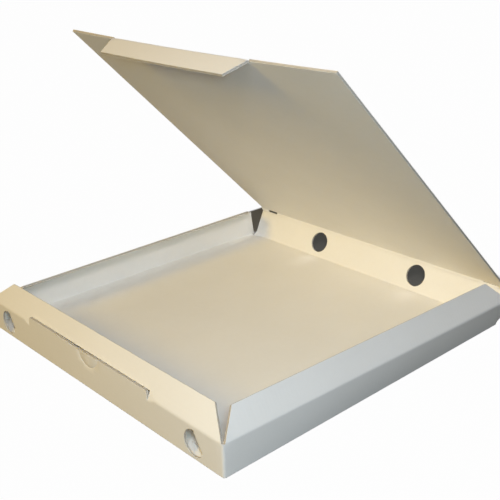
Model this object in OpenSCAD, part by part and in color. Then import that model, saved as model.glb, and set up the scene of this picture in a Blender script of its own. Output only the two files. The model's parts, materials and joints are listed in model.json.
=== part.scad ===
// Open pizza box folded from one sheet of corrugated board.
// The front is at -Y, the lid hinges at +Y, and the origin is the middle of the underside.

/* [Tray] */
// Outside width of the tray, left to right
box_w = 330; // [240:1:460]
// Outside depth of the tray, front to back
box_d = 330; // [240:1:460]
// Height of the front and side walls, to the top of their creases
wall_h = 28.2; // [20:0.1:60]
// Thickness of the board
board = 2; // [1.2:0.1:3]
// Inside radius of the folded front corners
corner_in = 0.5; // [0.5:0.5:4]
// Amount that the top of the left wall leans out at its free back end
left_flare = 5; // [0:0.5:12]
// Amount that the top of the right wall leans out at its free back end
right_flare = 9.5; // [0:0.5:12]
// Gap left at each crease between two panels, so that they can turn
crease_gap = 0.3; // [0.3:0.05:0.6]
// Length of the glued corner tabs behind the front wall
tab_l = 17; // [8:0.5:18]
// Height left free above the corner tabs
tab_drop = 4; // [3:0.5:10]

/* [Back panel] */
// Height of the lid crease while the back panel stands upright
hinge_h = 34; // [30:0.5:70]
// Lean of the back panel away from upright, with the lid open
panel_lean = 25; // [0:1:40]
// Gap between the left end of the back panel and the left wall
left_gap = 4.8; // [0.5:0.1:6]
// Gap between the right end of the back panel and the right wall
right_gap = 0.8; // [0.5:0.1:6]
// Diameter of the round vents in the back panel
back_vent_d = 22; // [10:0.5:24]
// Distance between the middles of the two back vents
back_vent_pitch = 130; // [60:1:200]
// Height of the back vents above the floor crease
back_vent_h = 16.4; // [14:0.1:18]
// Length of the two relief cuts in the lid crease
relief_l = 14; // [6:1:24]
// Distance of each relief cut from the end of the lid crease
relief_in = 9; // [5:1:30]

/* [Lid] */
// Rise of the open lid above level
lid_rise = 44.5; // [30:0.5:80]

/* [Rim flaps] */
// Width of the three rim flaps, from crease to free edge
flap_w = 21.5; // [14:0.5:30]
// Rise of the front flap above level
front_rise = 51; // [10:1:70]
// Rise of the left flap above level
left_rise = 27; // [10:1:52]
// Rise of the right flap above level
right_rise = 52; // [10:1:52]
// Distance of each flap's end from the corner of the creases
flap_in = 1.2; // [0.8:0.1:4]
// Angle of the mitred flap ends
mitre = 45; // [45:1:60]

/* [Lock] */
// Width of the tuck flap at its crease
tuck_w = 171; // [80:1:200]
// Length of the tuck flap
tuck_l = 20.5; // [12:0.5:24]
// Amount that each end of the tuck flap tapers in
tuck_taper = 8; // [1:0.5:15]
// Fold of the tuck flap out of the plane of the lid
tuck_fold = 70; // [10:1:90]
// Clearance around the tuck flap in its slot
tuck_clear = 1; // [0.5:0.1:2]
// Middle of the tuck flap and its slot, from the middle of the box
lock_offset = -7; // [-10:1:10]
// Height of the lip that stands above the front crease
lip_h = 3.6; // [2:0.1:4]
// Radius of the thumb mark under the lip
thumb_r = 14.3; // [8:0.1:20]
// Height of the thumb mark's lowest point
thumb_low = 20; // [14:0.5:24]
// Width of the line that marks the thumb mark
thumb_line = 0.9; // [0.4:0.1:2]
// Depth of the line that marks the thumb mark
thumb_deep = 0.5; // [0.2:0.1:1]

/* [Front vents] */
// Diameter of the knock-out vents in the front wall
vent_d = 22; // [10:0.2:22]
// Distance of each front vent's middle from the side of the box
vent_in = 32; // [32:1:60]
// Height of the middle of the front vents
vent_h = 13.4; // [13.4:0.1:14]
// Direction of the fold on which each knocked-in disc hangs
vent_turn = 30; // [0:5:60]
// Distance of the left disc's fold from the middle of its vent
left_fold = 8.5; // [2:0.5:9]
// Distance of the right disc's fold from the middle of its vent
right_fold = 5.5; // [2:0.5:9]
// Angle by which the discs are pushed in
vent_push = 38; // [10:1:45]
// Narrow cut around each knocked-in disc
vent_cut = 0.3; // [0.2:0.1:0.6]

/* [Hidden] */
$fn = 96;
bead_r = board / 2;
crease_in = bead_r + crease_gap;
front_y = -box_d / 2 + bead_r;
back_y = box_d / 2 - bead_r;
corner_r = corner_in + board;
side_x = box_w / 2 - bead_r;
bend_y = -box_d / 2 + corner_r;
side_l = box_d / 2 - bend_y;
rim_z = wall_h - bead_r;
panel_w = box_w - 2 * board - left_gap - right_gap;
panel_x = (left_gap - right_gap) / 2;
panel_l = hinge_h - bead_r;
hinge_y = back_y + panel_l * sin(panel_lean);
hinge_z = bead_r + panel_l * cos(panel_lean);
lip_back = -box_d / 2 + board;
tuck_y = lip_back + tuck_clear + bead_r;
lid_l = back_y - tuck_y;
slot_w = tuck_w + 2 * tuck_clear;
slot_reach = tuck_y + bead_r + tuck_clear - front_y;
round_step = 18;
over = 1;

white_board = [0.90, 0.88, 0.83];

// Turn of a side crease in plan, seen from above, for a wall that leans out by flare
function lean_turn(flare) = -atan(flare / side_l);

// Distance of a side crease from the middle of the box, halfway along the box
function lean_x(flare) = side_x - bend_y * flare / side_l;

// Section of the right-hand wall, with its round top edge moved out by lean
function wall_section(lean) = [
    [box_w / 2 - board, 0],
    [box_w / 2, 0],
    for (turn = [0:round_step:180])
        [side_x + lean + bead_r * cos(turn), rim_z + bead_r * sin(turn)]
];

// Round edge of a crease, along X
module bead(length) {
    rotate([0, 90, 0])
        cylinder(r = bead_r, h = length, center = true);
}

// Outline of the tray, moved in by an inset, with rounded front corners and a straight back
module footprint(inset, back) {
    half_w = box_w / 2 - inset;
    front = -box_d / 2 + inset;
    r = corner_r - inset;
    translate([-half_w, front + r])
        square([2 * half_w, back - front - r]);
    translate([-half_w + r, front])
        square([2 * (half_w - r), 2 * r]);
    for (side = [-1, 1])
        translate([side * (half_w - r), front + r])
            circle(r);
}

// Front wall with the bends that lead into the side walls
module front_wall() {
    difference() {
        linear_extrude(rim_z)
            footprint(0, back_y);
        translate([0, 0, -over])
            linear_extrude(rim_z + 2 * over)
                footprint(board, box_d);
        translate([-box_w, bend_y, -over])
            cube([2 * box_w, box_d, rim_z + 2 * over]);
    }
}

// Right-hand wall that stands upright at its bend and leans out by flare at its back end
module side_wall(flare) {
    near = wall_section(0);
    far = wall_section(flare);
    count = len(near);
    last = count - 1;
    polyhedron(
        points = [
            for (p = near) [p.x, bend_y, p.y],
            for (p = far) [p.x, box_d / 2, p.y]
        ],
        faces = [
            [for (i = [last:-1:0]) i],
            [for (i = [0:last]) count + i],
            for (i = [0:last - 1]) each [[count + i + 1, count + i, i], [i + 1, count + i + 1, i]],
            [count, count + last, 0],
            [count + last, last, 0]
        ]
    );
}

// Round top edge of the front wall, left open where the tuck slot is
module front_beads() {
    bend_x = box_w / 2 - corner_r;
    left_l = bend_x + lock_offset - slot_w / 2;
    right_l = bend_x - lock_offset - slot_w / 2;
    translate([-bend_x + left_l / 2, front_y, rim_z])
        bead(left_l);
    translate([bend_x - right_l / 2, front_y, rim_z])
        bead(right_l);
}

// Glued tabs that hold the side walls to the front wall
module corner_tabs() {
    tab_h = rim_z - tab_drop;
    for (side = [-1, 1])
        translate([side * (box_w / 2 - bead_r - tab_l / 2), front_y + board, tab_h / 2 + bead_r])
            cube([tab_l, board, tab_h], center = true);
}

// Part of a round vent that is cut free, in the plane of the wall
module vent_shape(radius, fold) {
    intersection() {
        circle(radius);
        translate([fold - 2 * radius, -radius])
            square(2 * radius);
    }
}

// Vent opening through the front wall
module vent_hole(fold) {
    rotate([90, 0, 0])
        rotate([0, 0, vent_turn])
            linear_extrude(2 * board, center = true)
                vent_shape(vent_d / 2, fold);
}

// Knocked-in disc that hangs on its fold behind the opening
module vent_disc(fold) {
    rotate([90, 0, 0])
        rotate([0, 0, vent_turn])
            translate([fold, 0, 0])
                rotate([0, -vent_push, 0])
                    translate([-fold, 0, 0])
                        linear_extrude(board, center = true)
                            vent_shape(vent_d / 2 - vent_cut, fold);
}

// Lip of the front wall that stands in front of the tuck slot
module lip() {
    lip_z = rim_z - over;
    rise = lip_h + bead_r + over;
    top_w = slot_w / 2 - lip_h - bead_r;
    translate([lock_offset, front_y, lip_z])
        rotate([90, 0, 0])
            linear_extrude(board, center = true)
                polygon([
                    [-slot_w / 2, 0], [slot_w / 2, 0], [slot_w / 2, over],
                    [top_w, rise], [-top_w, rise], [-slot_w / 2, over]
                ]);
}

// Pressed half-moon line on the outside of the front wall
module thumb_mark() {
    mark_z = thumb_low + thumb_r;
    translate([0, -box_d / 2, mark_z])
        rotate([90, 0, 0])
            difference() {
                cylinder(r = thumb_r, h = 2 * thumb_deep, center = true);
                cylinder(r = thumb_r - thumb_line, h = 4 * thumb_deep, center = true);
            }
}

module tray() {
    left_vent = [-box_w / 2 + vent_in, front_y, vent_h];
    right_vent = [box_w / 2 - vent_in, front_y, vent_h];
    color(white_board) {
        difference() {
            union() {
                linear_extrude(board)
                    footprint(bead_r, back_y);
                front_wall();
                lip();
            }
            translate(left_vent)
                vent_hole(left_fold);
            translate(right_vent)
                vent_hole(right_fold);
            thumb_mark();
        }
        translate(left_vent)
            vent_disc(left_fold);
        translate(right_vent)
            vent_disc(right_fold);
        front_beads();
        side_wall(right_flare);
        mirror([1, 0, 0])
            side_wall(left_flare);
        corner_tabs();
        translate([panel_x, back_y, bead_r])
            bead(panel_w);
    }
}

// Mitred flap with its crease along X and its free edge at +Y
module rim_flap(length) {
    root = length / 2 - bead_r - flap_in - crease_in * tan(mitre);
    tip = length / 2 - bead_r - flap_in - flap_w * tan(mitre);
    linear_extrude(board, center = true)
        polygon([[-root, crease_in], [root, crease_in], [tip, flap_w], [-tip, flap_w]]);
}

module front_flap() {
    color(white_board)
        translate([0, front_y, rim_z])
            rotate([front_rise, 0, 0])
                difference() {
                    rim_flap(box_w);
                    translate([lock_offset, slot_reach / 2, 0])
                        cube([slot_w, slot_reach, 2 * board], center = true);
                }
}

module left_flap() {
    color(white_board)
        translate([-lean_x(left_flare), 0, rim_z])
            rotate([0, 0, -90 - lean_turn(left_flare)])
                rotate([left_rise, 0, 0])
                    rim_flap(box_d);
}

module right_flap() {
    color(white_board)
        translate([lean_x(right_flare), 0, rim_z])
            rotate([0, 0, 90 + lean_turn(right_flare)])
                rotate([right_rise, 0, 0])
                    rim_flap(box_d);
}

module back_panel() {
    relief_x = panel_w / 2 - relief_in - relief_l / 2;
    color(white_board)
        translate([panel_x, back_y, bead_r])
            rotate([90 - panel_lean, 0, 0])
                difference() {
                    union() {
                        translate([-panel_w / 2, crease_in, -bead_r])
                            cube([panel_w, panel_l - crease_in, board]);
                        translate([0, panel_l, 0])
                            bead(panel_w);
                    }
                    for (side = [-1, 1]) {
                        translate([side * back_vent_pitch / 2, back_vent_h, 0])
                            cylinder(d = back_vent_d, h = 2 * board, center = true);
                        translate([side * relief_x, panel_l, 0])
                            cube([relief_l, board + over, 2 * board], center = true);
                    }
                }
}

module lid() {
    color(white_board)
        translate([0, hinge_y, hinge_z])
            rotate([180 - lid_rise, 0, 0]) {
                translate([panel_x - panel_w / 2, crease_in, -bead_r])
                    cube([panel_w, lid_l - crease_in, board]);
                translate([lock_offset, lid_l, 0])
                    bead(tuck_w);
            }
}

module tuck_flap() {
    root = tuck_w / 2;
    tip = tuck_w / 2 - tuck_taper;
    color(white_board)
        translate([lock_offset, hinge_y - lid_l * cos(lid_rise), hinge_z + lid_l * sin(lid_rise)])
            rotate([180 - lid_rise + tuck_fold, 0, 0])
                linear_extrude(board, center = true)
                    polygon([[-root, crease_in], [root, crease_in], [tip, tuck_l], [-tip, tuck_l]]);
}

tray();
front_flap();
left_flap();
right_flap();
back_panel();
lid();
tuck_flap();
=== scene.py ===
import json
import math

import bmesh
import bpy
from mathutils import Matrix, Vector
from mathutils.geometry import delaunay_2d_cdt


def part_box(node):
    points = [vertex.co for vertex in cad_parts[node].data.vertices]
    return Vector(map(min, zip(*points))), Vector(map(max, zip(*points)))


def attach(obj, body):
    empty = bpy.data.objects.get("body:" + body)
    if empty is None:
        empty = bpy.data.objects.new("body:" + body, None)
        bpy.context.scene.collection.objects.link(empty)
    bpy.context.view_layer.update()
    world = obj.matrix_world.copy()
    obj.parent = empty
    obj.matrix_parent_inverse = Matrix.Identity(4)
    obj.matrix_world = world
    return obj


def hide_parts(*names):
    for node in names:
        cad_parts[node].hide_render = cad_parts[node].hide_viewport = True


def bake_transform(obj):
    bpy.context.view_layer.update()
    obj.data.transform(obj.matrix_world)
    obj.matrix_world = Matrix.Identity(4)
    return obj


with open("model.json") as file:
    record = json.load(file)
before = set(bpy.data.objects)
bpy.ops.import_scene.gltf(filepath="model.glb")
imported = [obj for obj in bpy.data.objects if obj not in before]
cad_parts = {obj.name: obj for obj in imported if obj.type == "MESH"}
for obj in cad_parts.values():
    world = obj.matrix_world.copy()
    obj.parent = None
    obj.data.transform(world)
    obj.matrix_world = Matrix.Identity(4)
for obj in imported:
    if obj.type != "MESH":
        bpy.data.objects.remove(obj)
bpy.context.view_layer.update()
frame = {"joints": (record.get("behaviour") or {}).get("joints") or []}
JOINTS = {joint["name"]: joint for joint in frame["joints"]}


def crease_place(name):
    """Point on the line of a crease, from the frame."""
    return Vector(JOINTS[name]["pos_m"])


def crease_axis(name):
    """Direction of the line of a crease, from the frame."""
    return Vector(JOINTS[name]["axis"]).normalized()


# Board, in metres
BOARD = 0.002
HALF = BOARD / 2
FOLD_R = 0.0025
BAND = 0.003

# Tray
FRONT_Y = crease_place("front_crease").y
RIM_Z = crease_place("front_crease").z
BACK_Y = crease_place("back_panel_crease").y
FLOOR_Z = crease_place("back_panel_crease").z
BACK_END = BACK_Y + HALF
BEND_R = 0.0014
BEND_X = -FRONT_Y - BEND_R
BEND_Y = FRONT_Y + BEND_R
FLOOR_FOLD = 0.0011
FLOOR_EDGE_R = 0.0007
TAB_L = 0.016
TAB_TOP = 0.0242
TAB_GAP = 0.00005
TAB_INSET = 0.0005

# Rim flaps
FLAP_W = 0.0215
FLAP_IN = 0.0012
FRONT_RISE = math.radians(51)
LEFT_RISE = math.radians(27)
RIGHT_RISE = math.radians(57)
RIGHT_MITRES = (0.016, 0.0195)

# Back panel and lid
VENT_R = 0.0108
BACK_VENT_X = 0.065
BACK_VENT_UP = 0.0164
RELIEF_L = 0.014
LEFT_RELIEF_W = 0.004
RIGHT_RELIEF_W = 0.001
RELIEF_IN = 0.009
LID_BOW = 0.002

# Tuck flap and its slot
TUCK_L = 0.0205
TUCK_TAPER = 0.008
TUCK_FOLD = math.radians(70)
SLOT_CLEAR = 0.001
SLOT_REACH = 0.0048
LIP_RISE = 0.005
LIP_SLANT = 0.0012
LIP_DIP = 0.0009
LIP_DIP_X = (-0.05, -0.02, 0.012)
THUMB_R = 0.0139
THUMB_Z = 0.0343
THUMB_HALF_W = 0.0007
THUMB_DEEP = 0.0003

# Front vents
VENT_X = 0.133
VENT_Z = 0.0134
VENT_TURN = math.radians(30)
VENT_PUSH = math.radians(70)
VENT_CUT = 0.0003
VENT_FOLD = 0.0012
VENT_REACH = VENT_FOLD * math.tan(VENT_PUSH / 2)
LEFT_VENT_FOLD = 0.0078
RIGHT_VENT_FOLD = 0.005
FRONT_VENTS = ((-VENT_X, LEFT_VENT_FOLD), (VENT_X, RIGHT_VENT_FOLD))

# Mesh spacing
STEP = 0.009
FINE_STEP = 0.0012
EDGE_ROOM = 0.0004
FLOOR_ROOM = 0.002
ARC_STEPS = 6
BAND_STEPS = 8
VENT_STEP = math.radians(9)
BACK_VENT_SIDES = 48
THUMB_SIDES = 90
THUMB_RINGS = (-1, -0.5, 0, 0.5, 1)
MERGE = 0.000002
EPSILON = 0.0000001


def heading(angle):
    """Unit vector at an angle, in the plane across a crease."""
    return Vector((math.cos(angle), math.sin(angle)))


def inside_of(angle):
    """Unit vector to the left of a heading, which is the box's inside."""
    return Vector((-math.sin(angle), math.cos(angle)))


def fold(length, corner, first, last, radius):
    """Point and inside normal at a length past a rounded crease, which turns left from first to last."""
    half_arc = radius * (last - first) / 2
    reach = radius * math.tan((last - first) / 2)
    if length <= -half_arc:
        return corner + heading(first) * (length + half_arc - reach), inside_of(first)
    if length >= half_arc:
        return corner + heading(last) * (length - half_arc + reach), inside_of(last)
    angle = first + (length + half_arc) / radius
    centre = corner - heading(first) * reach + inside_of(first) * radius
    return centre - inside_of(angle) * radius, inside_of(angle)


def ticks(low, high, step):
    """Even values from low to high, no further apart than step."""
    count = max(1, math.ceil((high - low) / step - EPSILON))
    return [low + (high - low) * i / count for i in range(count + 1)]


def stops(places, step):
    """Values from the first place to the last, through every place and no further apart than step."""
    values = places[:1]
    for low, high in zip(places, places[1:]):
        values += ticks(low, high, step)[1:]
    return values


def trace(corners, step=STEP):
    """Closed outline through the corners, with no side longer than step."""
    points = []
    for start, end in zip(corners, corners[1:] + corners[:1]):
        start = Vector(start)
        end = Vector(end)
        count = max(1, math.ceil((end - start).length / step - EPSILON))
        points.extend(start.lerp(end, i / count) for i in range(count))
    return points


def circle(centre, radius, count):
    """Closed round outline."""
    return [Vector(centre) + heading(2 * math.pi * i / count) * radius for i in range(count)]


def lattice(columns, rows):
    """Points where columns and rows cross."""
    return [Vector((u, v)) for u in columns for v in rows]


def within(point, loops):
    """Whether a point lies inside the first loop and outside the holes."""
    odd = False
    for loop in loops:
        for a, b in zip(loop, loop[1:] + loop[:1]):
            if (a.y > point.y) != (b.y > point.y):
                odd ^= point.x < a.x + (point.y - a.y) / (b.y - a.y) * (b.x - a.x)
    return odd


def clear_of(point, loops, room):
    """Whether a point keeps its distance from every side of the loops."""
    for loop in loops:
        for a, b in zip(loop, loop[1:] + loop[:1]):
            side = b - a
            share = min(max((point - a).dot(side) / side.length_squared, 0), 1)
            if (point - a - side * share).length_squared < room * room:
                return False
    return True


def add_board(mesh, outline, place, sheet, holes=(), inner=(), room=EDGE_ROOM, joined=lambda a, b: False):
    """Adds a panel of board: two liners and the cut edge round them, bent by place and flat in sheet."""
    loops = [list(outline), *[list(hole) for hole in holes]]
    points = []
    sides = []
    for loop in loops:
        first = len(points)
        points.extend(loop)
        sides.extend((first + i, first + (i + 1) % len(loop)) for i in range(len(loop)))
    points.extend(p for p in inner if within(p, loops) and clear_of(p, loops, room))
    flat, _, triangles, _, _, _ = delaunay_2d_cdt(points, sides, [], 0, EPSILON)
    kept = [t for t in triangles if within((flat[t[0]] + flat[t[1]] + flat[t[2]]) / 3, loops)]
    upper = [mesh.verts.new(place(p.x, p.y, HALF)) for p in flat]
    lower = [mesh.verts.new(place(p.x, p.y, -HALF)) for p in flat]
    layer = mesh.loops.layers.uv.verify()
    borders = {}
    for triangle in kept:
        middle = (flat[triangle[0]] + flat[triangle[1]] + flat[triangle[2]]) / 3
        for verts, material in ((upper, INSIDE), (lower, OUTSIDE)):
            face = mesh.faces.new([verts[i] for i in triangle])
            face.material_index = material
            for corner, i in zip(face.loops, triangle):
                corner[layer].uv = sheet(flat[i], middle)
        for a, b in zip(triangle, triangle[1:] + triangle[:1]):
            borders[a, b] = middle
    for (a, b), middle in borders.items():
        if (b, a) in borders or joined(flat[a], flat[b]):
            continue
        face = mesh.faces.new([lower[a], lower[b], upper[b], upper[a]])
        face.material_index = EDGE
        for corner, (i, depth) in zip(face.loops, ((a, 0), (b, 0), (b, 1), (a, 1))):
            corner[layer].uv = (sheet(flat[i], middle)[1], depth)
    for vert in [v for v in upper + lower if not v.link_faces]:
        mesh.verts.remove(vert)


def make_piece(name, mesh, *nodes):
    """Turns a mesh into a piece of the box that stands for these CAD nodes."""
    bmesh.ops.recalc_face_normals(mesh, faces=mesh.faces)
    for face in mesh.faces:
        face.smooth = True
    data = bpy.data.meshes.new(name)
    mesh.to_mesh(data)
    mesh.free()
    data.set_sharp_from_angle(angle=SHARP)
    for material in BOARD_MATERIALS:
        data.materials.append(material)
    piece = bpy.data.objects.new(name, data)
    bpy.context.scene.collection.objects.link(piece)
    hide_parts(*nodes)
    return piece


# Materials

INSIDE = 0
OUTSIDE = 1
EDGE = 2
SHARP = math.radians(35)
FLUTE_PITCH = 0.0034

# Liners: shares of each noise in the colour, ends of the colour ramp and heights in the bump
CLOUD_SHARE = 0.55
PULP_SHARE = 0.3
FIBRE_SHARE = 0.15
MOTTLE_LOW = 0.32
MOTTLE_HIGH = 0.68
FLUTE_HEIGHT = 0.10
FIBRE_HEIGHT = 0.35
PULP_HEIGHT = 0.5
LINER_SPECULAR = 0.3

# Cut edge: depths as shares of the board's thickness, and colours
EDGE_MIDDLE = 0.5
FLUTE_SWING = 0.3
CORE_HALF = 0.14
LINER_FROM = 0.36
CORE_DEEP = (0.56, 0.51, 0.44, 1)
CORE_PALE = (0.66, 0.61, 0.54, 1)
# Painted shade: the hollows between the flute and the liners are coloured darker
GAP_SHADE_COLOR = (0.45, 0.41, 0.35, 1)
LINER_COLOR = (0.77, 0.74, 0.68, 1)
EDGE_ROUGHNESS = 0.9


def new_material(name):
    """New material, its shader, a maker of nodes that takes inputs by name or place, and a linker."""
    material = bpy.data.materials.new(name)
    material.use_nodes = True
    tree = material.node_tree
    shader = tree.nodes["Principled BSDF"]

    def node(kind, settings=(), **inputs):
        made = tree.nodes.new("ShaderNode" + kind)
        for key, value in dict(settings).items():
            setattr(made, key, value)
        for key, value in inputs.items():
            which = int(key[1:]) if key[1:].isdigit() else key.replace("_", " ")
            socket = made.inputs[which]
            if isinstance(value, bpy.types.NodeSocket):
                tree.links.new(value, socket)
            else:
                socket.default_value = value
        return made

    return material, shader, node, tree.links.new


def math_node(node, operation, first, second=0.0, third=0.0):
    """Output of one arithmetic node."""
    return node("Math", {"operation": operation}, i0=first, i1=second, i2=third).outputs[0]


def flute_wave(node, along):
    """Sine of the corrugation at a length across the flutes."""
    turns = math_node(node, "MULTIPLY", along, 2 * math.pi / FLUTE_PITCH)
    return math_node(node, "SINE", turns)


def liner_material(name, pale, deep, seed):
    """White paper face of the board, with cloudy pulp, fine fibres and faint flutes under it."""
    material, shader, node, link = new_material(name)
    sheet = node("TexCoord").outputs["UV"]
    shifted = node("Mapping", Vector=sheet, Location=(seed, seed, seed)).outputs[0]
    cloud = node("TexNoise", Vector=shifted, Scale=14.0, Detail=4.0, Roughness=0.55).outputs["Fac"]
    pulp = node("TexNoise", Vector=shifted, Scale=210.0, Detail=5.0, Roughness=0.65).outputs["Fac"]
    fibre = node("TexNoise", Vector=shifted, Scale=1500.0, Detail=3.0, Roughness=0.6).outputs["Fac"]
    clouds = math_node(node, "MULTIPLY", cloud, CLOUD_SHARE)
    grain = math_node(node, "MULTIPLY_ADD", pulp, PULP_SHARE, clouds)
    mottle = math_node(node, "MULTIPLY_ADD", fibre, FIBRE_SHARE, grain)
    ramp = node("ValToRGB", Fac=mottle)
    ramp.color_ramp.elements[0].position = MOTTLE_LOW
    ramp.color_ramp.elements[0].color = (*deep, 1)
    ramp.color_ramp.elements[1].position = MOTTLE_HIGH
    ramp.color_ramp.elements[1].color = (*pale, 1)
    link(ramp.outputs["Color"], shader.inputs["Base Color"])
    across = node("SeparateXYZ", Vector=sheet).outputs["Y"]
    flutes = math_node(node, "MULTIPLY", flute_wave(node, across), FLUTE_HEIGHT)
    relief = math_node(node, "MULTIPLY_ADD", fibre, FIBRE_HEIGHT, flutes)
    dents = math_node(node, "MULTIPLY_ADD", pulp, PULP_HEIGHT, relief)
    bump = node("Bump", Strength=0.35, Distance=0.0002, Height=dents)
    link(bump.outputs["Normal"], shader.inputs["Normal"])
    gloss = node("MapRange", Value=pulp, To_Min=0.52, To_Max=0.72)
    link(gloss.outputs["Result"], shader.inputs["Roughness"])
    shader.inputs["Specular IOR Level"].default_value = LINER_SPECULAR
    return material


def edge_material():
    """Cut edge of the board: two pale liners, a brown fluted core and painted shade in the hollow gaps of
    the core.
    """
    material, shader, node, link = new_material("cut_edge")
    edge = node("TexCoord").outputs["UV"]
    parts = node("SeparateXYZ", Vector=edge)
    along = parts.outputs["X"]
    depth = parts.outputs["Y"]
    middle = math_node(node, "MULTIPLY_ADD", flute_wave(node, along), FLUTE_SWING, EDGE_MIDDLE)
    off_core = math_node(node, "ABSOLUTE", math_node(node, "SUBTRACT", depth, middle))
    core = math_node(node, "LESS_THAN", off_core, CORE_HALF)
    off_middle = math_node(node, "ABSOLUTE", math_node(node, "SUBTRACT", depth, EDGE_MIDDLE))
    liner = math_node(node, "GREATER_THAN", off_middle, LINER_FROM)
    dust = node("TexNoise", Vector=edge, Scale=700.0, Detail=4.0).outputs["Fac"]
    brown = node("ValToRGB", Fac=dust)
    brown.color_ramp.elements[0].color = CORE_DEEP
    brown.color_ramp.elements[1].color = CORE_PALE
    # The hollow gaps round the flute get a darker colour as painted shade
    core_and_gap_shade = node("Mix", {"data_type": "RGBA"}, Factor=core, i6=GAP_SHADE_COLOR, i7=brown.outputs["Color"])
    faces = node("Mix", {"data_type": "RGBA"}, Factor=liner, i6=core_and_gap_shade.outputs[2], i7=LINER_COLOR)
    link(faces.outputs[2], shader.inputs["Base Color"])
    bump = node("Bump", Strength=0.5, Distance=0.0003, Height=dust)
    link(bump.outputs["Normal"], shader.inputs["Normal"])
    shader.inputs["Roughness"].default_value = EDGE_ROUGHNESS
    return material


BOARD_MATERIALS = [
    liner_material("inside_liner", pale=(0.89, 0.875, 0.84), deep=(0.85, 0.83, 0.785), seed=0.0),
    liner_material("outside_liner", pale=(0.86, 0.84, 0.80), deep=(0.82, 0.80, 0.755), seed=3.7),
    edge_material(),
]


# Tray

# Half the length of the floor's fold, and how far the outside liner slides to its sharper edge
FLOOR_ARC = FLOOR_FOLD * math.pi / 4
EDGE_SHIFT = HALF + FLOOR_FOLD - FLOOR_ARC - FLOOR_EDGE_R * (1 - math.pi / 4)

# Lengths along the wall from the middle of the front: past the corner, at the floor's back and at the end
BEND_ARC = BEND_R * math.pi / 2
SIDE_RUN = BEND_X + BEND_ARC
FLOOR_BACK = BACK_Y - BAND
BACK_RUN = SIDE_RUN + FLOOR_BACK - BEND_Y
WALL_END = SIDE_RUN + BACK_END - BEND_Y
SIDE_L = BACK_END - BEND_Y


def wall_slope(side):
    """Run of a side crease away from straight, on the right for side 1 and the left for side -1."""
    axis = crease_axis("right_crease" if side > 0 else "left_crease")
    return abs(axis.x / axis.y)


def wall_lean(y, height, side):
    """Amount that a side wall leans out at a place along it and a height."""
    run = max(y - BEND_Y, 0)
    share = height / RIM_Z
    return wall_slope(side) * run * share * (1 + (1 - run / SIDE_L) * (1 - share))


def wall_line(s):
    """Point and outward direction on the tray's wall, at a length from the middle of the front."""
    side = math.copysign(1, s)
    run = abs(s)
    if run <= BEND_X:
        return Vector((s, FRONT_Y)), Vector((0, -1))
    turn = min((run - BEND_X) / BEND_R, math.pi / 2)
    out = Vector((side * math.sin(turn), -math.cos(turn)))
    past = Vector((0, max(run - SIDE_RUN, 0)))
    return Vector((side * BEND_X, BEND_Y)) + out * BEND_R + past, out


def wall_length(z):
    """Length up the wall from the floor's crease to a height."""
    return z - FLOOR_Z + FLOOR_ARC - FLOOR_FOLD


# Lengths up the wall
WALL_BASE = -FLOOR_ARC
WALL_BAND = wall_length(RIM_Z - BAND)
WALL_RIM = wall_length(RIM_Z)
WALL_LIP = wall_length(RIM_Z + LIP_RISE)


def thumb_dent(s, z):
    """Depth of the pressed half-moon line on the outside of the front wall."""
    off = abs(math.hypot(s, z - THUMB_Z) - THUMB_R) / THUMB_HALF_W
    return THUMB_DEEP * (1 - off) if off < 1 else 0


def wall_place(s, h, t):
    """Point of the folded wall at a length round the tray, a length up from the floor and a depth."""
    point, outward = wall_line(s)
    if t < 0:
        h += EDGE_SHIFT * min(max(h / FLOOR_ARC, -1), 1)
        edge = Vector((HALF, FLOOR_Z - HALF))
        (out, z), (normal_out, normal_z) = fold(h, edge, 0, math.pi / 2, FLOOR_EDGE_R)
        t = thumb_dent(s, z)
    else:
        (out, z), (normal_out, normal_z) = fold(h, Vector((0, FLOOR_Z)), 0, math.pi / 2, FLOOR_FOLD)
    point = point + outward * (out + normal_out * t)
    lean = math.copysign(wall_lean(point.y, z, s), s)
    return Vector((point.x + lean, point.y, z + normal_z * t))


def wall_sheet(p, middle):
    """Flat place in the sheet of a point on the wall."""
    if abs(middle.x) <= BEND_X + BEND_ARC / 2:
        return p.x, FRONT_Y - p.y
    side = math.copysign(1, p.x)
    return side * (-FRONT_Y + p.y), BEND_Y + abs(p.x) - SIDE_RUN


def floor_place(x, y, t):
    """Point of the flat floor."""
    return Vector((x, y, FLOOR_Z + t))


def flat_sheet(p, middle):
    """Flat place in the sheet of a point that is placed by it."""
    return p.x, p.y


tuck_low, tuck_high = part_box("tuck_flap")
SLOT_LEFT = tuck_low.x - SLOT_CLEAR
SLOT_RIGHT = tuck_high.x + SLOT_CLEAR


def vent_outline(fold_at, radius):
    """Outline of a vent from its middle: an arc and a chord across the way that its disc hangs."""
    half = math.acos(fold_at / radius)
    return [heading(angle) * radius for angle in ticks(half, 2 * math.pi - half, VENT_STEP)]


def turned(points, angle):
    """Points turned about the origin."""
    spin = Matrix.Rotation(angle, 2)
    return [spin @ p for p in points]


def add_vent_disc(mesh, x, fold_at):
    """Adds the disc of a front vent, which is pushed in and hangs on its fold."""
    centre = Vector((x, FRONT_Y, VENT_Z))
    across = Vector((math.cos(VENT_TURN), 0, math.sin(VENT_TURN)))
    along = Vector((-math.sin(VENT_TURN), 0, math.cos(VENT_TURN)))
    inward = Vector((0, 1, 0))

    def place(p, q, t):
        (run, depth), (normal_run, normal_depth) = fold(fold_at - p, Vector((0, 0)), 0, VENT_PUSH, VENT_FOLD)
        back = fold_at - run - normal_run * t
        return centre + across * back + along * q + inward * (depth + normal_depth * t)

    outline = vent_outline(fold_at + VENT_REACH - 2 * MERGE, VENT_R - VENT_CUT)
    columns = ticks(fold_at - VENT_REACH, fold_at + VENT_REACH, VENT_REACH / ARC_STEPS)
    inner = lattice(columns, ticks(-VENT_R, VENT_R, FINE_STEP))
    add_board(mesh, outline, place, flat_sheet, inner=inner)


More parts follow.
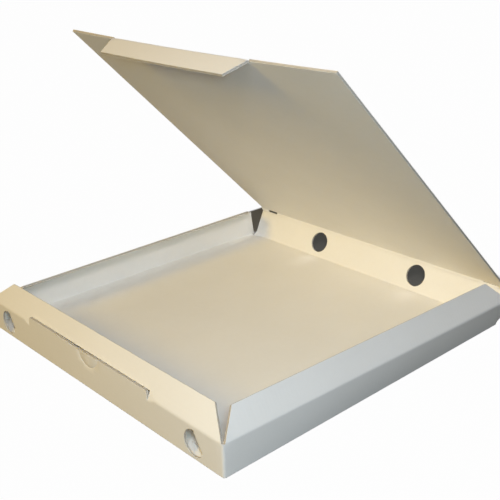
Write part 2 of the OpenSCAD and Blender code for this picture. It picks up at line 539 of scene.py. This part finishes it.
def add_corner_tab(mesh, side):
    """Adds a glued tab behind the front wall."""
    y = FRONT_Y + BOARD + TAB_GAP
    end = -FRONT_Y - TAB_INSET
    free = end - TAB_L
    low = FLOOR_Z + HALF + TAB_GAP

    def place(x, z, t):
        return Vector((side * x, y + t, z))

    corners = [
        (free, low + BOARD),
        (free + BOARD, low),
        (end, low),
        (end, TAB_TOP),
        (free + BOARD, TAB_TOP),
        (free, TAB_TOP - 2 * BOARD),
    ]
    add_board(mesh, [Vector(p) for p in corners], place, flat_sheet)


def wall_columns():
    """Lengths along the whole wall, close together at the vents and round the corners."""
    half = ticks(0, VENT_X - VENT_R, STEP)[1:]
    half += ticks(VENT_X - VENT_R, VENT_X + VENT_R, FINE_STEP)[1:]
    half += ticks(VENT_X + VENT_R, BEND_X, STEP)[1:-1]
    half += ticks(BEND_X, SIDE_RUN, BEND_ARC / ARC_STEPS)
    half += ticks(SIDE_RUN, BACK_RUN, STEP)[1:]
    half.append(WALL_END)
    return [-s for s in reversed(half)] + [0.0] + half


def wall_outline(columns):
    """Outline of the wall, with its lip in front of the slot and room for the bands of the flaps."""
    bend = ticks(BEND_X, SIDE_RUN, BEND_ARC / ARC_STEPS)[1:-1]
    dip_left, dip_middle, dip_right = LIP_DIP_X
    corners = [(WALL_END, WALL_BAND), (SIDE_RUN, WALL_BAND), (SIDE_RUN, WALL_RIM)]
    corners += [(s, WALL_RIM) for s in reversed(bend)]
    corners += [(BEND_X, WALL_RIM), (BEND_X, WALL_BAND), (SLOT_RIGHT, WALL_BAND), (SLOT_RIGHT, WALL_RIM)]
    corners += [(SLOT_RIGHT - LIP_SLANT, WALL_LIP), (dip_right, WALL_LIP), (dip_middle, WALL_LIP - LIP_DIP)]
    corners += [(dip_left, WALL_LIP), (SLOT_LEFT + LIP_SLANT, WALL_LIP)]
    corners += [(SLOT_LEFT, WALL_RIM), (SLOT_LEFT, WALL_BAND), (-BEND_X, WALL_BAND), (-BEND_X, WALL_RIM)]
    corners += [(-s, WALL_RIM) for s in bend]
    corners += [(-SIDE_RUN, WALL_RIM), (-SIDE_RUN, WALL_BAND), (-WALL_END, WALL_BAND)]
    foot = Vector((-WALL_END, WALL_BASE))
    top = trace([Vector(p) for p in corners] + [foot, Vector((WALL_END, WALL_BASE))])
    turn_at = next(i for i, p in enumerate(top) if (p - foot).length < MERGE)
    bottom = [Vector((s, WALL_BASE)) for s in columns]
    climb = [Vector((WALL_END, h)) for h in ticks(WALL_BASE, WALL_BAND, STEP)[1:-1]]
    return bottom + climb + top[:turn_at]


def thumb_points():
    """Points along the half-moon line, across its width."""
    centre = Vector((0, wall_length(THUMB_Z)))
    rings = [circle(centre, THUMB_R + share * THUMB_HALF_W, THUMB_SIDES) for share in THUMB_RINGS]
    return [p for ring in rings for p in ring if p.y < WALL_LIP]


def add_wall(mesh, columns):
    """Adds the front wall and the side walls, which fold up from the floor."""
    holes = []
    for x, fold_at in FRONT_VENTS:
        middle = Vector((x, wall_length(VENT_Z)))
        holes.append([middle + p for p in turned(vent_outline(fold_at + VENT_REACH, VENT_R), VENT_TURN)])
    rows = ticks(WALL_BASE, FLOOR_ARC, FLOOR_ARC / ARC_STEPS) + ticks(FLOOR_ARC, WALL_BAND, STEP / 2)[1:]
    inner = lattice(columns, rows) + thumb_points()

    def on_floor(a, b):
        return max(a.y, b.y) < WALL_BASE + MERGE and max(abs(a.x), abs(b.x)) < BACK_RUN + MERGE

    add_board(mesh, wall_outline(columns), wall_place, wall_sheet, holes, inner, joined=on_floor)


def add_tray_floor(mesh, columns):
    """Adds the flat floor, which meets the wall at the start of its fold."""
    line = [wall_place(s, WALL_BASE, 0).xy for s in columns if abs(s) < BACK_RUN + MERGE]
    back = [line[-1].lerp(line[0], share) for share in ticks(0, 1, STEP / (2 * BEND_X))[1:-1]]
    inner = lattice(ticks(-BEND_X, BEND_X, STEP), ticks(BEND_Y, FLOOR_BACK, STEP))

    def on_wall(a, b):
        return min(a.y, b.y) < FLOOR_BACK - MERGE

    add_board(mesh, line + back, floor_place, flat_sheet, (), inner, FLOOR_ROOM, on_wall)


def make_tray():
    """Floor and walls from one sheet, with the vent discs and the corner tabs."""
    mesh = bmesh.new()
    columns = wall_columns()
    add_wall(mesh, columns)
    add_tray_floor(mesh, columns)
    bmesh.ops.remove_doubles(mesh, verts=mesh.verts, dist=MERGE)
    for x, fold_at in FRONT_VENTS:
        add_vent_disc(mesh, x, fold_at)
    for side in (-1, 1):
        add_corner_tab(mesh, side)
    tray = make_piece("tray_board", mesh, "tray")
    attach(tray, "tray")


# Rim flaps

FOLD_ROWS = ticks(-BAND, BAND, BAND / BAND_STEPS)


def blend_fold(piece):
    """Bakes the piece's transform into its mesh."""
    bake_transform(piece)


def make_flap(name, node, joint, rise, first_end, last_end, mitres=(FLAP_W, FLAP_W), slot=()):
    """Rim flap on its crease, with mitred ends and the top of the wall that it bends from."""
    mesh = bmesh.new()
    corner = crease_place(joint)
    along = crease_axis(joint)
    up = Vector((0, 0, 1))
    outward = along.cross(up)
    last = math.pi - rise
    mitre_at = -FRONT_Y - FLAP_IN
    first_tip = mitres[0] - mitre_at
    last_tip = mitre_at - mitres[1]
    heel = mitre_at - BEND_X

    def lean(u):
        if abs(along.x) > abs(along.y):
            return 0
        run = max((corner + along * u).y - BEND_Y, 0)
        slope = abs(along.x / along.y)
        return math.atan(slope * run * run / SIDE_L / RIM_Z)

    def place(u, v, t):
        (out, z), (normal_out, normal_z) = fold(v, Vector((0, 0)), math.pi / 2 - lean(u), last, FOLD_R)
        return corner + along * u + outward * (out + normal_out * t) + up * (z + normal_z * t)

    def sheet(p, middle):
        centre = corner + outward * (p.y + RIM_Z) + along * p.x
        return centre.x, centre.y

    right = [(last_end, -BAND), (last_end, 0), (BEND_X, heel), (last_tip, FLAP_W)]
    left = [(first_tip, FLAP_W), (-BEND_X, heel), (first_end, 0), (first_end, -BAND)]
    notch = []
    if slot:
        start, end = slot
        notch = [(start, -BAND), (start, SLOT_REACH), (end, SLOT_REACH), (end, -BAND)]
    outline = trace([Vector(p) for p in notch + right + left])
    rows = FOLD_ROWS + ticks(BAND, FLAP_W, STEP)[1:]
    columns = stops([first_end, *slot, last_end], STEP)
    add_board(mesh, outline, place, sheet, inner=lattice(columns, rows))
    piece = make_piece(name, mesh, node)
    blend_fold(piece)


# Back panel, lid and tuck flap

lid_low, lid_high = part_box("lid")
PANEL_LEFT = lid_low.x
PANEL_RIGHT = lid_high.x
PANEL_MID = (PANEL_LEFT + PANEL_RIGHT) / 2
PANEL_HALF = PANEL_RIGHT - PANEL_MID
FLOOR_CREASE = crease_place("back_panel_crease")
LID_CREASE = crease_place("lid_crease")
TUCK_CREASE = crease_place("tuck_crease")
LID_L = (TUCK_CREASE - LID_CREASE).yz.length
PANEL_L = (LID_CREASE - FLOOR_CREASE).length


def way_between(start, end):
    """Heading in the YZ plane from one crease to the next."""
    return math.atan2(end.z - start.z, end.y - start.y)


PANEL_WAY = way_between(FLOOR_CREASE, LID_CREASE)
LID_WAY = way_between(LID_CREASE, TUCK_CREASE)
TUCK_WAY = LID_WAY + TUCK_FOLD


def lid_sag(x, v):
    """Sag of the lid towards the tray, which grows to the middle of its free edge."""
    share = (x - PANEL_MID) / PANEL_HALF
    return LID_BOW * (1 - share ** 2) * max(v / LID_L, 0) ** 2


def crease_bend(corner, first, last):
    """Placing function of a panel that turns at a crease along X."""

    def place(x, v, t):
        point, normal = fold(v, corner.yz, first, last, FOLD_R)
        point = point + normal * t
        return Vector((x, point.x, point.y))

    return place


def space_way(angle):
    """Direction in space of a heading in the YZ plane."""
    return Vector((0, math.cos(angle), math.sin(angle)))


def sheet_past(start):
    """Flat place in the sheet of a panel whose crease lies at start."""

    def sheet(p, middle):
        return p.x, start + p.y

    return sheet


def rectangle(left, right, low, high):
    """Four corners of an upright rectangle."""
    return [Vector((left, low)), Vector((right, low)), Vector((right, high)), Vector((left, high))]


def make_back_panel():
    """Back panel with its two round vents, on the floor's back crease."""
    mesh = bmesh.new()
    top = PANEL_L - BAND
    outline = trace(rectangle(PANEL_LEFT, PANEL_RIGHT, -BAND, top))
    vents_x = (PANEL_MID - BACK_VENT_X, PANEL_MID + BACK_VENT_X)
    holes = [circle((x, BACK_VENT_UP), VENT_R, BACK_VENT_SIDES) for x in vents_x]
    rows = FOLD_ROWS + ticks(BAND, top, STEP)[1:]
    inner = lattice(ticks(PANEL_LEFT, PANEL_RIGHT, STEP), rows)
    place = crease_bend(FLOOR_CREASE, 0, PANEL_WAY)
    add_board(mesh, outline, place, sheet_past(BACK_Y), holes, inner)
    piece = make_piece("back_panel_board", mesh, "back_panel")
    blend_fold(piece)


def make_lid():
    """Lid on the back panel's top crease, with two relief cuts in the crease."""
    mesh = bmesh.new()
    bend = crease_bend(LID_CREASE, PANEL_WAY, LID_WAY)
    under = space_way(LID_WAY + math.pi / 2)

    def place(x, v, t):
        return bend(x, v, t) + under * lid_sag(x, v)

    root = LID_L - BAND
    notch = [(tuck_high.x, LID_L), (tuck_high.x, root), (tuck_low.x, root), (tuck_low.x, LID_L)]
    corners = [(PANEL_LEFT, -BAND), (PANEL_RIGHT, -BAND), (PANEL_RIGHT, LID_L), *notch, (PANEL_LEFT, LID_L)]
    outline = trace([Vector(p) for p in corners])
    holes = []
    left_cut = PANEL_LEFT + RELIEF_IN
    right_cut = PANEL_RIGHT - RELIEF_IN - RELIEF_L
    for start, width in ((left_cut, LEFT_RELIEF_W), (right_cut, RIGHT_RELIEF_W)):
        cut = rectangle(start, start + RELIEF_L, -width / 2, width / 2)
        holes.append(trace(cut, FINE_STEP))
    rows = FOLD_ROWS + ticks(BAND, LID_L, STEP)[1:]
    inner = lattice(ticks(PANEL_LEFT, PANEL_RIGHT, STEP), rows)
    add_board(mesh, outline, place, sheet_past(BACK_Y + PANEL_L), holes, inner)
    piece = make_piece("lid_board", mesh, "lid")
    blend_fold(piece)


def make_tuck_flap():
    """Tuck flap on the lid's free edge, with tapered ends."""
    mesh = bmesh.new()
    bend = crease_bend(TUCK_CREASE, LID_WAY, TUCK_WAY)
    under = space_way(LID_WAY + math.pi / 2)

    def place(x, v, t):
        return bend(x, v, t) + under * lid_sag(x, LID_L + min(v, 0))

    left = tuck_low.x
    right = tuck_high.x
    corners = [(left, -BAND), (right, -BAND), (right, HALF), (right - TUCK_TAPER, TUCK_L)]
    corners += [(left + TUCK_TAPER, TUCK_L), (left, HALF)]
    outline = trace([Vector(p) for p in corners])
    rows = FOLD_ROWS + ticks(BAND, TUCK_L, STEP)[1:]
    inner = lattice(ticks(left, right, STEP), rows)
    add_board(mesh, outline, place, sheet_past(BACK_Y + PANEL_L + LID_L), (), inner)
    piece = make_piece("tuck_board", mesh, "tuck_flap")
    blend_fold(piece)


make_tray()
front_slot = (SLOT_LEFT, SLOT_RIGHT)
make_flap("front_flap_board", "front_flap", "front_crease", FRONT_RISE, -BEND_X, BEND_X, slot=front_slot)
make_flap("right_flap_board", "right_flap", "right_crease", RIGHT_RISE, -BEND_X, BACK_END, RIGHT_MITRES)
make_flap("left_flap_board", "left_flap", "left_crease", LEFT_RISE, -BACK_END, BEND_X)
make_back_panel()
make_lid()
make_tuck_flap()


# Stage: floor, soft lights and the camera

CAMERA_PLACE = Vector((0.5428, -0.4752, 0.3627))
CAMERA_YAW = math.radians(-48.107)
CAMERA_PITCH = math.radians(21.84)
CAMERA_ROLL = math.radians(-1.473)
CAMERA_LENS = 62.55
SENSOR = 36.0
CLIP_START = 0.01

# Floor under its white, the share of white on it, and the borders of the shaded zone behind the box, where
# the white is left out so that the dark floor colour shows as painted shadow on top of the box's real shade
FLOOR_SIZE = 8.0
FLOOR_DROP = 0.0002
FLOOR_AND_PAINTED_SHADOW_COLOR = (0.13, 0.126, 0.115, 1)
FLOOR_ROUGHNESS = 0.9
FLOOR_SPECULAR = 0.1
FLOOR_SHARE = 0.985
SHADE_LEFT = -0.2265
SHADE_RIGHT = 0.122
SHADE_FRONT = 0.175
SHADE_BACK = 0.243
SHADE_CRISP = 0.004
SHADE_SOFT = 0.02

WHITE = (1, 1, 1, 1)
WORLD_STRENGTH = 0.10
LIGHT_TARGET = Vector((0, 0, 0.05))

# Name, place, size, power and colour of each light
LIGHTS = (
    ("high", (0.55, -0.55, 0.65), 0.2, 3.5, (1.0, 0.95, 0.96)),
    ("warm", (-0.41, -1.29, 0.90), 0.5, 9.4, (1.0, 0.65, 0.06)),
    ("cool", (0.566, -0.449, 0.40), 0.05, 1.7, (0.58, 0.83, 1.0)),
    ("back", (0, 1.35, 0.9), 0.9, 10, (1.0, 0.96, 0.91)),
)


def make_floor():
    """Dark floor that shows white to the camera and in reflections, apart from a zone behind the box, where
    its dark colour shows as painted shadow.
    """
    bpy.ops.mesh.primitive_plane_add(size=FLOOR_SIZE, location=(0, 0, -FLOOR_DROP))
    floor = bpy.context.object
    floor.name = "floor"
    material, shader, node, link = new_material("pale_floor_with_painted_shadow")
    shader.inputs["Base Color"].default_value = FLOOR_AND_PAINTED_SHADOW_COLOR
    shader.inputs["Roughness"].default_value = FLOOR_ROUGHNESS
    shader.inputs["Specular IOR Level"].default_value = FLOOR_SPECULAR
    white = node("Emission", Color=WHITE, Strength=1.0)
    seen = node("LightPath").outputs
    mirrored = math_node(node, "MAXIMUM", seen["Is Glossy Ray"], seen["Is Transmission Ray"])
    shown = math_node(node, "MAXIMUM", seen["Is Camera Ray"], mirrored)
    ground = node("SeparateXYZ", Vector=node("NewGeometry").outputs["Position"])
    x = ground.outputs["X"]
    y = ground.outputs["Y"]
    # No white in the zone behind the box: its dark floor colour is painted shadow that darkens the vents and
    # the corner gap, along with the box's real shade
    borders = (
        (x, SHADE_LEFT, SHADE_LEFT - SHADE_CRISP),
        (x, SHADE_RIGHT, SHADE_RIGHT + SHADE_SOFT),
        (y, SHADE_FRONT, SHADE_FRONT - SHADE_SOFT),
        (y, SHADE_BACK, SHADE_BACK + SHADE_SOFT),
    )
    white_outside_painted_shadow = 0.0
    for way, start, end in borders:
        side = node("MapRange", Value=way, From_Min=start, From_Max=end, To_Max=FLOOR_SHARE)
        white_outside_painted_shadow = math_node(node, "MAXIMUM", side.outputs["Result"], white_outside_painted_shadow)
    share = math_node(node, "MULTIPLY", shown, white_outside_painted_shadow)
    mix = node("MixShader", i0=share, i1=shader.outputs[0], i2=white.outputs[0])
    link(mix.outputs[0], material.node_tree.nodes["Material Output"].inputs["Surface"])
    floor.data.materials.append(material)


def make_world():
    """Even soft surround light, which the camera sees as a pale background."""
    world = bpy.data.worlds.new("surround")
    world.use_nodes = True
    tree = world.node_tree
    light = tree.nodes["Background"]
    light.inputs["Color"].default_value = WHITE
    light.inputs["Strength"].default_value = WORLD_STRENGTH
    pale = tree.nodes.new("ShaderNodeBackground")
    pale.inputs["Strength"].default_value = 1.0
    seen = tree.nodes.new("ShaderNodeLightPath")
    mix = tree.nodes.new("ShaderNodeMixShader")
    tree.links.new(seen.outputs["Is Camera Ray"], mix.inputs[0])
    tree.links.new(light.outputs[0], mix.inputs[1])
    tree.links.new(pale.outputs[0], mix.inputs[2])
    tree.links.new(mix.outputs[0], tree.nodes["World Output"].inputs["Surface"])
    bpy.context.scene.world = world


def add_light(name, place, size, power, color):
    """Square soft light that faces the box."""
    data = bpy.data.lights.new(name, "AREA")
    data.size = size
    data.energy = power
    data.color = color
    light = bpy.data.objects.new(name, data)
    light.location = place
    light.rotation_euler = (LIGHT_TARGET - Vector(place)).to_track_quat("-Z", "Y").to_euler()
    bpy.context.scene.collection.objects.link(light)


def make_camera():
    """Camera at the photograph's angle."""
    ahead = Vector((
        math.cos(CAMERA_PITCH) * math.sin(CAMERA_YAW),
        math.cos(CAMERA_PITCH) * math.cos(CAMERA_YAW),
        -math.sin(CAMERA_PITCH),
    ))
    level = ahead.cross(Vector((0, 0, 1))).normalized()
    upright = level.cross(ahead)
    right = level * math.cos(CAMERA_ROLL) + upright * math.sin(CAMERA_ROLL)
    up = upright * math.cos(CAMERA_ROLL) - level * math.sin(CAMERA_ROLL)
    data = bpy.data.cameras.new("camera")
    data.lens = CAMERA_LENS
    data.sensor_width = SENSOR
    data.clip_start = CLIP_START
    camera = bpy.data.objects.new("camera", data)
    turn = Matrix((right, up, -ahead)).transposed()
    camera.matrix_world = Matrix.Translation(CAMERA_PLACE) @ turn.to_4x4()
    bpy.context.scene.collection.objects.link(camera)
    bpy.context.scene.camera = camera


make_floor()
make_world()
for light in LIGHTS:
    add_light(*light)
make_camera()
bpy.context.scene.view_settings.view_transform = "Standard"
